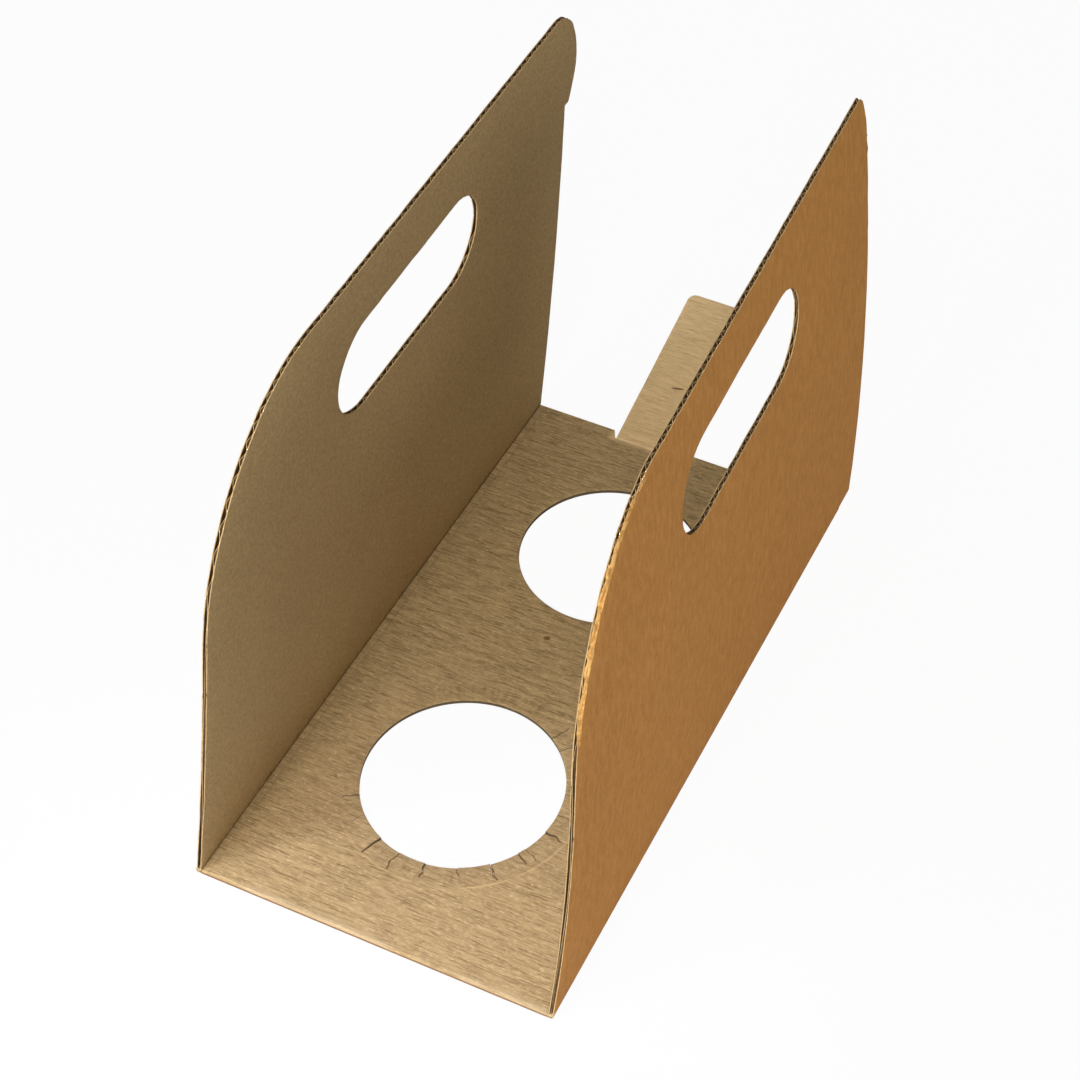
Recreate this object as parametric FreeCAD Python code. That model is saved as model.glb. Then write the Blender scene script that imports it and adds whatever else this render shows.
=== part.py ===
import FreeCAD, Part
import math
import os

# One folded sheet of corrugated board: a base with two cup holes, two tall walls with
# hand slots, and a narrow tongue at the rear. Millimetres, +Z up, the front towards -Y.
# The origin is the middle of the base's underside.

Vector = FreeCAD.Vector
X_AXIS = Vector(1, 0, 0)
Y_AXIS = Vector(0, 1, 0)
Z_AXIS = Vector(0, 0, 1)
LEFT = -1
RIGHT = 1

# Board
board = 1.7                 # whole thickness of the single-wall board
liner = 0.25                # each of the two flat outer papers
medium = 0.2                # the wavy paper between them
flute_pitch = 3.45          # from one wave to the next
glue_line = 0.15            # where the wavy paper touches an outer paper
flute_mouth = 5.0           # how far in from a cut edge the flutes are cut out
void_step = 45.0            # longest straight piece of a void in a bowed wall
crushed_board = 3.5         # board pressed flat beside a fold, with closed flutes
lip_round = 0.8             # pressed front lip of the base
fold_setback = 1.3          # how far from the corner a long fold starts to round
fold_bulge = 0.21           # middle of the rounding, out from the straight line across it
score_width = 1.8           # creased line along the inside of each fold
score_depth = 0.3
score_margin = 1.2          # from the wall's foot to the crease

# Base
base_width = 117.0          # outside to outside, across the folds
carrier_length = 222.0      # length of the left wall at its foot
rear_recess = 0.5           # the base ends this much before the left wall does
front_hole = 63.0           # diameter, a little widened by a cup
rear_hole = 61.0
hole_spacing = 104.5
hole_setback = 62.0         # front edge to the middle of the front hole
hole_offset = -2.9          # the holes lie this much to one side of the middle

# Slits round the front hole, opened by a cup
petal_length = 7.0
slit_width = 0.4
slit_first = -145.0         # degrees, anticlockwise from +X
slit_step = 16.4
slit_count = 13

# Walls
wall_height = 175.5
front_taper = 4.5           # the front edge leans back this much over the height
shoulder_length = 50.0
shoulder_height = 67.5
left_rear_taper = 6.0       # the rear edge leans forward this much over the height
right_rear_taper = 12.5
right_reach = 9.0           # the right wall's foot ends this much behind the left one's
rear_corner_length = 5.0
rear_corner_height = 16.0
slot_length = 88.5
left_slot_trim = 4.0        # the left slot's rear end comes this much sooner
slot_height = 32.0
slot_middle_height = 139.5
slot_setback = 115.5        # front edge to the middle of the slot

# How each wall stands: inward lean of its top at the front and at the rear, outward bow
left_front_lean = 22.0
left_rear_lean = 14.2
left_bow = -1.4
right_front_lean = -4.0
right_rear_lean = 6.8
right_bow = 3.5

# The left wall's rear top corner stands out above a small step in its edge
ear_foot = 139.0
ear_step = 2.8
ear_reach = 6.6
ear_rise = 14.0             # from the step to the widest place
ear_corner_length = 16.0

# Tongue
tongue_width = 25.0
tongue_length = 66.0
tongue_left = 25.0          # middle of the base to the tongue's left edge
tongue_tilt = 16.5          # degrees up from the base
tongue_corner = 3.0
tongue_inset = 4.0          # the tongue's fold lies this far inside the left wall's rear end
relief_width = 1.2          # notch cut in the base beside the tongue's fold

# Reach of a cutting block past what it cuts
past = 12.0

front = -carrier_length / 2
rear = carrier_length / 2
base_rear = rear - rear_recess
front_hole_y = front + hole_setback
holes = ((front_hole, front_hole_y), (rear_hole, front_hole_y + hole_spacing))
lean_of = {LEFT: (left_front_lean, left_rear_lean), RIGHT: (right_front_lean, right_rear_lean)}
bow_of = {LEFT: left_bow, RIGHT: right_bow}
rear_of = {LEFT: rear, RIGHT: rear + right_reach}
rear_taper_of = {LEFT: left_rear_taper, RIGHT: right_rear_taper}
slot_length_of = {LEFT: slot_length - left_slot_trim, RIGHT: slot_length}


# Surface of the walls
def wall_x(side, y, z, depth):
    """X of a point of a wall at a depth below the wall's outer face."""
    front_lean, rear_lean = lean_of[side]
    along = (y - front) / carrier_length
    up = z / wall_height
    lean = (front_lean + (rear_lean - front_lean) * along) * up
    bow = 4 * bow_of[side] * up * (1 - up)
    return side * (base_width / 2 - lean + bow - depth)


def wall_sheet(side):
    """Wall's board with its lean and bow, larger all round than the finished wall."""
    start, end, top = front - past, rear + past, wall_height + past
    rings = []
    for z in (0, top / 2, top):
        places = ((start, 0), (end, 0), (end, board), (start, board))
        points = [Vector(wall_x(side, y, z, depth), y, z) for y, depth in places]
        rings.append(Part.makePolygon(points + points[:1]))
    return Part.makeLoft(rings, True, False)


# Flutes
def flute_voids(start, end):
    """Sections of the voids between two places, each as (place, depth) corners."""
    half = (flute_pitch - glue_line) / 2
    count = int((end - start) / (flute_pitch / 2)) + 1
    sections = []
    for i in range(count):
        middle = start + i * flute_pitch / 2
        wide, narrow = liner, board - liner - medium
        if i % 2:
            wide, narrow = board - wide, board - narrow
        sections.append([(middle - half, wide), (middle + half, wide), (middle, narrow)])
    return sections


def wall_void(side, corners, low, high):
    """Straight pieces of one void that follow a wall between two heights."""
    middle_y = corners[-1][0]
    count = math.ceil((high - low) / void_step)
    pieces = []
    for i in range(count):
        bottom = low + (high - low) * i / count
        top = low + (high - low) * (i + 1) / count
        bottom_x = wall_x(side, middle_y, bottom, 0)
        top_x = wall_x(side, middle_y, top, 0)
        points = [Vector(bottom_x - side * depth, y, bottom) for y, depth in corners]
        face = Part.Face(Part.makePolygon(points + points[:1]))
        pieces.append(face.extrude(Vector(top_x - bottom_x, 0, top - bottom)))
    return pieces


def heights_on(face, y):
    """Lowest and highest point of a face in the plane x = 0 at one place, if any."""
    edges = straight(at(y, -past), at(y, wall_height + past)).common(face).Edges
    return [edge.BoundBox.ZMin for edge in edges] + [edge.BoundBox.ZMax for edge in edges]


def wall_voids(side):
    """The open ends of a wall's flutes, at its outer edge and round its slot."""
    foot = board + crushed_board
    outline = outline_face(side)
    slot = slot_face(side)
    pieces = []
    for corners in flute_voids(front, rear_of[side]):
        places = [y for y, depth in corners]
        edge_height = min(max(heights_on(outline, y), default=0) for y in places)
        low = max(foot, edge_height - flute_mouth)
        pieces += wall_void(side, corners, low, wall_height + past)
        slot_heights = sum((heights_on(slot, y) for y in places), [])
        if slot_heights:
            low = min(slot_heights) - flute_mouth
            pieces += wall_void(side, corners, low, max(slot_heights) + flute_mouth)
    return Part.makeCompound(pieces)


# Outline of the walls, drawn in the plane x = 0
def at(y, z):
    return Vector(0, y, z)


def straight(start, end):
    return Part.makeLine(start, end)


def arch(start, middle, end):
    return Part.Arc(start, middle, end).toShape()


def rounded(start, corner, end):
    """Quarter of an ellipse that replaces a corner, tangent to both of its sides."""
    curve = Part.BezierCurve()
    curve.setPoles([start, corner, end])
    curve.setWeight(2, math.sqrt(0.5))
    return curve.toShape()


def rear_edge_y(side, z):
    return rear_of[side] - rear_taper_of[side] * z / wall_height


def plain_rear_corner():
    """Edges from the top edge down to the foot, where the corner is as it was cut."""
    corner = at(rear_edge_y(RIGHT, wall_height), wall_height)
    top = corner - Y_AXIS * rear_corner_length
    low_z = wall_height - rear_corner_height
    low = at(rear_edge_y(RIGHT, low_z), low_z)
    return top, [rounded(top, corner, low), straight(low, at(rear_of[RIGHT], 0))]


def eared_rear_corner():
    """Edges from the top edge down to the foot, where the corner stands out."""
    foot = at(rear_edge_y(LEFT, ear_foot), ear_foot)
    step = foot + Y_AXIS * ear_step
    belly = foot + Y_AXIS * ear_reach + Z_AXIS * ear_rise
    corner = at(belly.y, wall_height)
    top = corner - Y_AXIS * ear_corner_length
    swell = rounded(step, at(belly.y, ear_foot + ear_rise / 2), belly)
    edge = straight(foot, at(rear_of[LEFT], 0))
    return top, [rounded(top, corner, belly), swell, straight(step, foot), edge]


def outline_face(side):
    low_z = wall_height - shoulder_height
    low = at(front + front_taper * low_z / wall_height, low_z)
    corner = at(front + front_taper, wall_height)
    high = corner + Y_AXIS * shoulder_length
    top, falling = eared_rear_corner() if side == LEFT else plain_rear_corner()
    rising = [straight(at(front, 0), low), rounded(low, corner, high), straight(high, top)]
    foot = straight(at(rear_of[side], 0), at(front, 0))
    return Part.Face(Part.Wire(rising + falling + [foot]))


def slot_face(side):
    radius = slot_height / 2
    start = front + slot_setback - slot_length / 2
    end = start + slot_length_of[side]
    z = slot_middle_height
    edges = [straight(at(start + radius, z + radius), at(end - radius, z + radius)),
             arch(at(end - radius, z + radius), at(end, z), at(end - radius, z - radius)),
             straight(at(end - radius, z - radius), at(start + radius, z - radius)),
             arch(at(start + radius, z - radius), at(start, z), at(start + radius, z + radius))]
    return Part.Face(Part.Wire(edges))


# Pieces of the sheet
def wall(side):
    """Upright wall with a hand slot, and its flutes open wherever it is cut."""
    across = X_AXIS * side * (base_width / 2 + past)
    outline = outline_face(side).extrude(across)
    slot = slot_face(side).extrude(across)
    return wall_sheet(side).common(outline.cut(slot)).cut(wall_voids(side))


def cup_holes():
    """Two upright cylinders that cut the cup holes."""
    return [Part.makeCylinder(size / 2, 2 * past, Vector(hole_offset, y, -past), Z_AXIS)
            for size, y in holes]


def petal_slits():
    """Thin radial cuts round the front hole."""
    middle = Vector(hole_offset, front_hole_y, 0)
    length = front_hole / 2 + petal_length
    slits = []
    for i in range(slit_count):
        slit = Part.makeBox(length, slit_width, 2 * past, Vector(0, -slit_width / 2, -past))
        slit.rotate(Vector(), Z_AXIS, slit_first + i * slit_step)
        slit.translate(middle)
        slits.append(slit)
    return slits


def base_plate():
    """Flat base between the walls, with a rounded front lip."""
    plate = Part.makeBox(base_width, base_rear - front, board, Vector(-base_width / 2, front, 0))
    lip = [edge for edge in plate.Edges
           if abs(edge.CenterOfMass.y - front) < 0.01 and edge.Length > base_width / 2]
    return plate.makeFillet(lip_round, lip).cut(cup_holes() + petal_slits())


def scores():
    """Shallow creases in the base along the inside of the two long folds."""
    half = score_width / 2
    above = 0.2
    flare = half * above / score_depth
    offset = base_width / 2 - board - score_margin - half
    section = [(-half - flare, above), (half + flare, above), (0, -score_depth)]
    grooves = []
    for side in (LEFT, RIGHT):
        points = [Vector(side * offset + x, front - past, board + z) for x, z in section]
        face = Part.Face(Part.makePolygon(points + points[:1]))
        grooves.append(face.extrude(Y_AXIS * (carrier_length + 2 * past)))
    return grooves


def tongue_voids():
    """The tongue's flutes, which run across it from side to side."""
    pieces = []
    for corners in flute_voids(crushed_board, tongue_length + flute_pitch):
        points = [Vector(-past, y, depth) for y, depth in corners]
        face = Part.Face(Part.makePolygon(points + points[:1]))
        pieces.append(face.extrude(X_AXIS * (tongue_width + 2 * past)))
    return pieces


def tongue():
    """Narrow tongue that rises rearwards from its fold in the base."""
    plate = Part.makeBox(tongue_width, tongue_length, board)
    tip = [edge for edge in plate.Edges
           if abs(edge.CenterOfMass.y - tongue_length) < 0.01 and abs(edge.Length - board) < 0.01]
    plate = plate.makeFillet(tongue_corner, tip).cut(tongue_voids())
    plate.rotate(Vector(0, 0, board), X_AXIS, tongue_tilt)
    knuckle = Part.makeCylinder(board, tongue_width, Vector(0, 0, board), X_AXIS)
    above = Part.makeBox(tongue_width, 2 * board, board, Vector(0, -board, board))
    bent = plate.fuse(knuckle.cut(above))
    bent.translate(Vector(-tongue_left, rear - tongue_inset, 0))
    return bent


def reliefs():
    """Notches in the base's rear edge, one on each side of the tongue."""
    notches = []
    for x in (-tongue_left - relief_width, -tongue_left + tongue_width):
        corner = Vector(x, rear - tongue_inset, -past)
        notches.append(Part.makeBox(relief_width, tongue_inset + past, 2 * past, corner))
    return notches


def tongue_clearance():
    """Block that takes away the base behind the tongue's fold, where the tongue rises."""
    corner = Vector(-tongue_left, rear - tongue_inset, -past)
    return Part.makeBox(tongue_width, tongue_inset + past, 2 * past, corner)


def fold_rounding(side):
    """Block that rounds the outside of one long fold, from the base to the wall."""
    low = Vector(side * (base_width / 2 - fold_setback), front - past, 0)
    high = Vector(wall_x(side, 0, fold_setback, 0), front - past, fold_setback)
    corner = Vector(side * (base_width / 2 + past), front - past, -past)
    outward = Vector(side, 0, -1).normalize()
    middle = (low + high) / 2 + outward * fold_bulge
    under = low + (low - middle).normalize() * past
    beside = high + (high - middle).normalize() * past
    edges = [straight(under, low), arch(low, middle, high), straight(high, beside),
             straight(beside, corner), straight(corner, under)]
    return Part.Face(Part.Wire(edges)).extrude(Y_AXIS * (carrier_length + 2 * past))


def carrier():
    sheet = base_plate().cut(reliefs() + [tongue_clearance()])
    sheet = sheet.fuse([wall(LEFT), wall(RIGHT), tongue()]).removeSplitter()
    return sheet.cut([fold_rounding(LEFT), fold_rounding(RIGHT)] + scores())


os.makedirs("parts", exist_ok=True)
folded_sheet = carrier()
solid = folded_sheet.Solids[0]
solid.exportStep("parts/folded_sheet.step")
print("solids", len(folded_sheet.Solids), "valid", solid.isValid(), "volume", round(solid.Volume, 1))
print("box", solid.BoundBox)
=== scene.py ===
import math

import bmesh
import bpy
import numpy
from bpy.props import FloatProperty, FloatVectorProperty, PointerProperty
from mathutils import Matrix, Vector, kdtree, noise


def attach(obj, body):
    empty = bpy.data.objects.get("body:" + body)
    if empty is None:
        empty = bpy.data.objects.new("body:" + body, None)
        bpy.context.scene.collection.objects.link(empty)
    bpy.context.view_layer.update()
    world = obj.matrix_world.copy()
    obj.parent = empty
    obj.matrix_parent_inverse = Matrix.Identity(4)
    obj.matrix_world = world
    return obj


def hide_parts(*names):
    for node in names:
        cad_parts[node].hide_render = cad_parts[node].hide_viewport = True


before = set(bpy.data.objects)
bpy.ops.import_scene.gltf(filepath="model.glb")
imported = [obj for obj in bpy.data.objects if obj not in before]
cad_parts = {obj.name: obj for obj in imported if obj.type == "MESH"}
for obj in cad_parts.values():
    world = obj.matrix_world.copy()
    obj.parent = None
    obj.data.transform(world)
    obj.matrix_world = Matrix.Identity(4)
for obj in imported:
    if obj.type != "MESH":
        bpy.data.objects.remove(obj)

# A cup carrier folded from one sheet of corrugated board. Metres, +Z up, front towards -Y.

bl_info = {
    "name": "Cardboard cup carrier",
    "version": (1, 0, 0),
    "blender": (4, 5, 0),
    "location": "3D View > Sidebar > Carrier",
    "description": "Folded corrugated carrier for two cups, with its studio",
    "category": "Add Mesh",
}

LEFT = -1
RIGHT = 1
MM = 0.001
INSIDE, OUTSIDE, CUT, CORE, TORN = range(5)     # slots of the materials on every piece
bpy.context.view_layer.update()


def length(name, description, millimetres):
    return FloatProperty(name=name, description=description, default=millimetres * MM,
                         unit="LENGTH", subtype="DISTANCE", precision=4)


def tint(name, description, red, green, blue):
    return FloatVectorProperty(name=name, description=description, default=(red, green, blue),
                               size=3, subtype="COLOR", min=0.0, max=1.0)


# Settings

class BoardSettings(bpy.types.PropertyGroup):
    thickness: length("Thickness", "Whole thickness of the corrugated board", 1.7)
    liner: length("Liner", "Thickness of each flat outer paper", 0.25)
    medium: length("Medium", "Thickness of the wavy paper", 0.16)
    flute_pitch: length("Flute pitch", "From one wave to the next", 3.45)
    edge_crush: length("Edge crush", "How far the papers are pressed together at a cut edge", 0.15)


class CarrierSettings(bpy.types.PropertyGroup):
    width: length("Width", "Outside to outside across the folds", 117.0)
    carrier_length: length("Length", "Length of the left wall at its foot", 222.0)
    rear_recess: length("Rear recess", "The base ends this much before the left wall does", 0.5)
    front_hole: length("Front hole", "Diameter of the front cup hole", 63.0)
    rear_hole: length("Rear hole", "Diameter of the rear cup hole", 61.0)
    hole_setback: length("Hole setback", "Front edge to the middle of the front hole", 62.0)
    hole_spacing: length("Hole spacing", "Between the middles of the holes", 104.5)
    hole_offset: length("Hole offset", "Middle of the holes across the base", -2.9)
    petal_ring: length("Petal ring", "Radius of the crease that the petals bend on", 39.2)
    wall_height: length("Wall height", "Height of the walls", 175.5)
    front_taper: length("Front taper", "The front edge leans back this much", 4.5)
    shoulder_length: length("Shoulder length", "Length of the round front shoulder", 50.0)
    shoulder_height: length("Shoulder height", "Height of the round front shoulder", 67.5)
    left_rear_taper: length("Left rear taper", "The left rear edge leans forward this much", 6.0)
    right_rear_taper: length("Right rear taper",
                             "The right rear edge leans forward this much", 12.5)
    right_reach: length("Right reach",
                        "The right wall's foot ends this much behind the left one's", 9.0)
    slot_length: length("Slot length", "Length of the right hand slot", 88.5)
    left_slot_trim: length("Left slot trim", "The left slot's rear end comes this much sooner", 4.0)
    slot_height: length("Slot height", "Height of the hand slot", 32.0)
    slot_middle: length("Slot middle", "Height of the hand slot's middle", 139.5)
    slot_setback: length("Slot setback", "Front edge to the middle of the slot", 115.5)
    tongue_width: length("Tongue width", "Width of the rear tongue", 25.0)
    tongue_length: length("Tongue length", "Length of the rear tongue", 66.0)
    tongue_left: length("Tongue left", "Middle of the base to the tongue's left edge", 25.0)
    tongue_inset: length("Tongue inset", "The tongue's fold, inside the left wall's rear end", 4.0)
    tongue_tilt: FloatProperty(name="Tongue tilt", description="Rise of the tongue from the base",
                               default=math.radians(16.5), subtype="ANGLE", unit="ROTATION")


class PaperSettings(bpy.types.PropertyGroup):
    inside: tint("Inside", "Kraft paper on the inside", 0.475, 0.338, 0.166)
    outside: tint("Outside", "Kraft paper on the outside", 0.55, 0.257, 0.071)
    cut: tint("Cut", "Pale fibres at a cut edge", 0.62, 0.43, 0.21)
    # Painted shade: the wavy paper's tint is darker than its own brown, for the shade in its flutes
    # and in the bands beside the base's slits, which take this tint too.
    core: tint("Core", "Wavy paper between the outer papers", 0.20, 0.125, 0.06)
    # The torn paper's tint is partly the paler fibres of the torn edge and partly a painted
    # highlight, where the rolled edge catches the light.
    torn: tint("Torn", "Scuffed and torn paper", 0.80, 0.46, 0.15)


def board():
    return bpy.context.scene.carrier_board


def sizes():
    return bpy.context.scene.carrier_sizes


def paper():
    return bpy.context.scene.carrier_paper


# Shape of the sheet

# How far each wall's top leans inward at its front and rear end, and how far its middle bows out
LEANS = {LEFT: (22.0 * MM, 14.2 * MM), RIGHT: (-4.0 * MM, 6.8 * MM)}
BOWS = {LEFT: -1.4 * MM, RIGHT: 3.5 * MM}

# The left wall's rear top corner is an ear, which stands out above a small step
EAR_FOOT = 139 * MM
EAR_STEP = 2.8 * MM
EAR_REACH = 6.6 * MM
EAR_RISE = 14 * MM
EAR_SWELL = 7 * MM
EAR_LENGTH = 16 * MM

RIGHT_CORNER_LENGTH = 5 * MM
RIGHT_CORNER_HEIGHT = 16 * MM


def front_end():
    return -sizes().carrier_length / 2


def rear_end(side=LEFT):
    return sizes().carrier_length / 2 + (sizes().right_reach if side == RIGHT else 0)


def rear_line(side, up):
    """Place along the carrier of a wall's plain rear edge at a height."""
    taper = sizes().right_rear_taper if side == RIGHT else sizes().left_rear_taper
    return rear_end(side) - taper * up / sizes().wall_height


def front_hole_y():
    return front_end() + sizes().hole_setback


def tongue_fold():
    """Place along the carrier of the tongue's fold."""
    return rear_end() - sizes().tongue_inset


def tongue_middle():
    """Place across the carrier of the tongue's middle."""
    return -sizes().tongue_left + sizes().tongue_width / 2


def slot_ends(side):
    s = sizes()
    start = front_end() + s.slot_setback - s.slot_length / 2
    return start, start + s.slot_length - (s.left_slot_trim if side == LEFT else 0)


def wall_x(side, along, up, depth):
    """Place across the carrier of a point of a wall, at a depth below its outer face."""
    front_lean, rear_lean = LEANS[side]
    share = (along - front_end()) / sizes().carrier_length
    rise = up / sizes().wall_height
    lean = (front_lean + (rear_lean - front_lean) * share) * rise
    bow = 4 * BOWS[side] * rise * (1 - rise)
    return side * (sizes().width / 2 - lean + bow - depth)


def flat(along, up):
    return Vector((along, up))


def quarter(start, corner, end, share):
    """Point of a quarter ellipse that replaces a corner."""
    middle = start + end - corner
    angle = share * math.pi / 2
    return middle + (start - middle) * math.cos(angle) + (end - middle) * math.sin(angle)


def shares(count, first=0):
    return [i / count for i in range(first, count + 1)]


def wall_rim(side):
    """Points of a wall's outline from the top of its front edge round to its rear edge."""
    s = sizes()
    top = s.wall_height
    low_up = top - s.shoulder_height
    low = flat(front_end() + s.front_taper * low_up / top, low_up)
    corner = flat(front_end() + s.front_taper, top)
    high = corner + flat(s.shoulder_length, 0)
    rim = [quarter(low, corner, high, share) for share in shares(30)]
    slot_start, slot_end = slot_ends(side)
    rim += [high.lerp(flat(slot_start, top), share) for share in shares(5, 1)]
    radius = s.slot_height / 2
    bend = [radius * (1 - math.cos(share * math.pi / 2)) for share in shares(9, 1)]
    rim += [flat(slot_start + step, top) for step in bend]
    inner = slot_end - slot_start - 2 * radius
    rim += [flat(slot_start + radius + inner * share, top) for share in shares(16, 1)]
    rim += [flat(slot_end - step, top) for step in reversed(bend[:-1])] + [flat(slot_end, top)]
    if side == RIGHT:
        low_up = top - RIGHT_CORNER_HEIGHT
        low = flat(rear_line(RIGHT, low_up), low_up)
        corner = flat(rear_line(RIGHT, top), top)
        start = corner - flat(RIGHT_CORNER_LENGTH, 0)
        turn = [quarter(start, corner, low, share) for share in shares(12, 1)]
    else:
        start = ear_corner()[0]
        join = ear_join()
        turn = [point for point in ear_top() if point.x < join.x] + [join]
    return rim + [flat(slot_end, top).lerp(start, share) for share in shares(14, 1)] + turn


def ear_corner():
    """Start, corner and end of the ear's round top."""
    foot = flat(rear_line(LEFT, EAR_FOOT), EAR_FOOT)
    belly = foot + flat(EAR_REACH, EAR_RISE)
    corner = flat(belly.x, sizes().wall_height)
    return corner - flat(EAR_LENGTH, 0), corner, belly


def ear_top():
    start, corner, belly = ear_corner()
    return [quarter(start, corner, belly, share) for share in shares(24)]


def ear_join():
    """Where the plain rear edge, drawn on upwards, meets the ear's round top."""
    for point in ear_top():
        if point.x >= rear_line(LEFT, point.y):
            return flat(rear_line(LEFT, point.y), point.y)


def ear_outside():
    """Rear edge of the ear, from its small step up to the join."""
    foot = flat(rear_line(LEFT, EAR_FOOT), EAR_FOOT)
    step = foot + flat(EAR_STEP, 0)
    belly = ear_corner()[2]
    bulge = flat(belly.x, EAR_FOOT + EAR_SWELL)
    swell = [quarter(step, bulge, belly, share) for share in shares(6)]
    join = ear_join()
    upper = [point for point in reversed(ear_top()) if point.x > join.x]
    return [foot, foot.lerp(step, 0.5)] + swell + upper[1:] + [join]


def slot_reach(side, along):
    """Half the height of the hand slot at a place along the wall."""
    radius = sizes().slot_height / 2
    start, end = slot_ends(side)
    off = max(start + radius - along, along - end + radius)
    if off <= 0:
        return radius
    return math.sqrt(max(0.0, radius ** 2 - off ** 2))


def wall_columns(side):
    """Columns of a wall's papers, each as (foot, under the slot, over the slot, top)."""
    s = sizes()
    rim = wall_rim(side)
    slot_start, slot_end = slot_ends(side)
    foot_up = board().thickness
    share_up = s.slot_middle / s.wall_height
    last_share = share_up if side == RIGHT else EAR_FOOT / ear_join().y
    columns = []
    for point in rim:
        if point.x < slot_start:
            back = (slot_start - point.x) / (slot_start - rim[0].x)
            foot = flat(point.x - (rim[0].x - front_end()) * back, foot_up)
        elif point.x > slot_end:
            back = (point.x - slot_end) / (rim[-1].x - slot_end)
            foot = flat(point.x + (rear_end(side) - rim[-1].x) * back, foot_up)
        else:
            foot = flat(point.x, foot_up)
        share = share_up
        if point.x > slot_end:
            share += (last_share - share_up) * (point.x - slot_end) / (rim[-1].x - slot_end)
        middle = flat(foot.x + (point.x - foot.x) * share, point.y * share)
        reach = slot_reach(side, point.x) if slot_start < point.x < slot_end else 0.0
        columns.append((foot, middle - flat(0, reach), middle + flat(0, reach), point))
    return columns


def finely(path, step):
    """Points along a path, about a step apart, without the last one."""
    points = []
    for start, end in zip(path, path[1:]):
        count = max(1, int((end - start).length / step))
        points += [start.lerp(end, i / count) for i in range(count)]
    return points


def closed_rim(side):
    """Fine points round everything that is cut in a wall: its outline and its slot."""
    middle = sizes().slot_middle
    foot = board().thickness
    path = [flat(front_end(), foot)] + wall_rim(side)
    if side == LEFT:
        path += list(reversed(ear_outside()))[1:]
    path.append(flat(rear_end(side), foot))
    start, end = slot_ends(side)
    turns = [start + (end - start) * (1 - math.cos(math.pi * share)) / 2 for share in shares(90)]
    slot = [flat(along, middle + slot_reach(side, along)) for along in turns]
    slot += [flat(along, middle - slot_reach(side, along)) for along in reversed(turns)]
    return finely(path, 0.4 * MM) + finely(slot, 0.4 * MM)


def nearness(points):
    """Function that gives how far a place on a wall is from the nearest cut edge."""
    tree = kdtree.KDTree(len(points))
    for i, point in enumerate(points):
        tree.insert((point.x, point.y, 0), i)
    tree.balance()
    return lambda along, up: tree.find((along, up, 0))[2]


def wobble(along, up, scale, seed):
    return noise.noise(Vector((along * scale, up * scale, seed)))


# Mesh building

SHARP = math.radians(32)    # edges that turn more than this stay sharp
WELD = 0.002 * MM           # points closer than this are joined


def grid(columns, rows):
    """New bmesh grid, with the column and row of each of its vertices."""
    bm = bmesh.new()
    bmesh.ops.create_grid(bm, x_segments=columns - 1, y_segments=rows - 1, size=0.5)
    places = [(round((v.co.x + 0.5) * (columns - 1)), round((v.co.y + 0.5) * (rows - 1)))
              for v in bm.verts]
    return bm, places


def slotted_grid(columns, low_rows, high_rows, place):
    """Sheet whose columns run from foot to top and are interrupted where there is a slot.

    low_rows and high_rows are the shares of each run. place turns a flat point into a vertex.
    """
    bm, places = grid(len(columns), len(low_rows) + len(high_rows))
    gap = len(low_rows)
    open_faces = []
    for face in bm.faces:
        rows = {places[v.index][1] for v in face.verts}
        if rows == {gap - 1, gap}:
            open_faces.append(face)
    for vert, (column, row) in zip(bm.verts, places):
        foot, low, high, top = columns[column]
        if row < gap:
            point = foot.lerp(low, low_rows[row])
        else:
            point = high.lerp(top, high_rows[row - gap])
        vert.co = place(point.x, point.y)
    bmesh.ops.delete(bm, geom=open_faces, context="FACES_ONLY")
    bmesh.ops.remove_doubles(bm, verts=bm.verts, dist=WELD)
    return bm


def thicken(bm, thickness, outward):
    """Give an open sheet its thickness below the side that outward points to.

    Gives the faces of that side, of the other side and of the cut edge.
    """
    bm.normal_update()
    facing = sum((face.normal.dot(outward) * face.calc_area() for face in bm.faces), 0.0)
    if facing < 0:
        bmesh.ops.reverse_faces(bm, faces=bm.faces[:])
    bm.normal_update()
    normals = {tuple(vert.co): vert.normal.copy() for vert in bm.verts}
    top = bm.faces[:]
    below = bmesh.ops.extrude_face_region(bm, geom=top, use_keep_orig=True)
    bottom = [item for item in below["geom"] if isinstance(item, bmesh.types.BMFace)]
    for vert in {vert for face in bottom for vert in face.verts}:
        vert.co -= normals[tuple(vert.co)] * thickness
    flats = set(top) | set(bottom)
    rim = [face for face in bm.faces if face not in flats]
    bmesh.ops.recalc_face_normals(bm, faces=bm.faces[:])
    return top, bottom, rim


def paint(faces, slot):
    for face in faces:
        face.material_index = slot


def gather(target, source):
    """Add one bmesh to another and free it."""
    mesh = bpy.data.meshes.new("gathered")
    source.to_mesh(mesh)
    target.from_mesh(mesh)
    bpy.data.meshes.remove(mesh)
    source.free()


def add_paper(whole, sheet, thickness, outward, slots):
    """Thicken an open sheet, paint its two sides and its cut edge, and gather it."""
    for faces, slot in zip(thicken(sheet, thickness, outward), slots):
        paint(faces, slot)
    gather(whole, sheet)


def add_object(name, content):
    holder = bpy.data.objects.new(name, content)
    bpy.context.scene.collection.objects.link(holder)
    return holder


def piece_from(bm, name):
    """Object of a finished bmesh, smooth except along its sharp edges."""
    bm.normal_update()
    for face in bm.faces:
        face.smooth = True
    for edge in bm.edges:
        edge.smooth = edge.is_manifold and edge.calc_face_angle() < SHARP
    mesh = bpy.data.meshes.new(name)
    bm.to_mesh(mesh)
    bm.free()
    for finish, make in FINISHES:
        mesh.materials.append(bpy.data.materials.get(finish) or make(Finish(finish)))
    return add_object(name, mesh)


# Walls

# The right wall's front shoulder is worn in front of WORN_END, round the height WORN_MIDDLE
WORN_END = -60 * MM
WORN_MIDDLE = 148 * MM
WORN_REACH = 30 * MM


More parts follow.
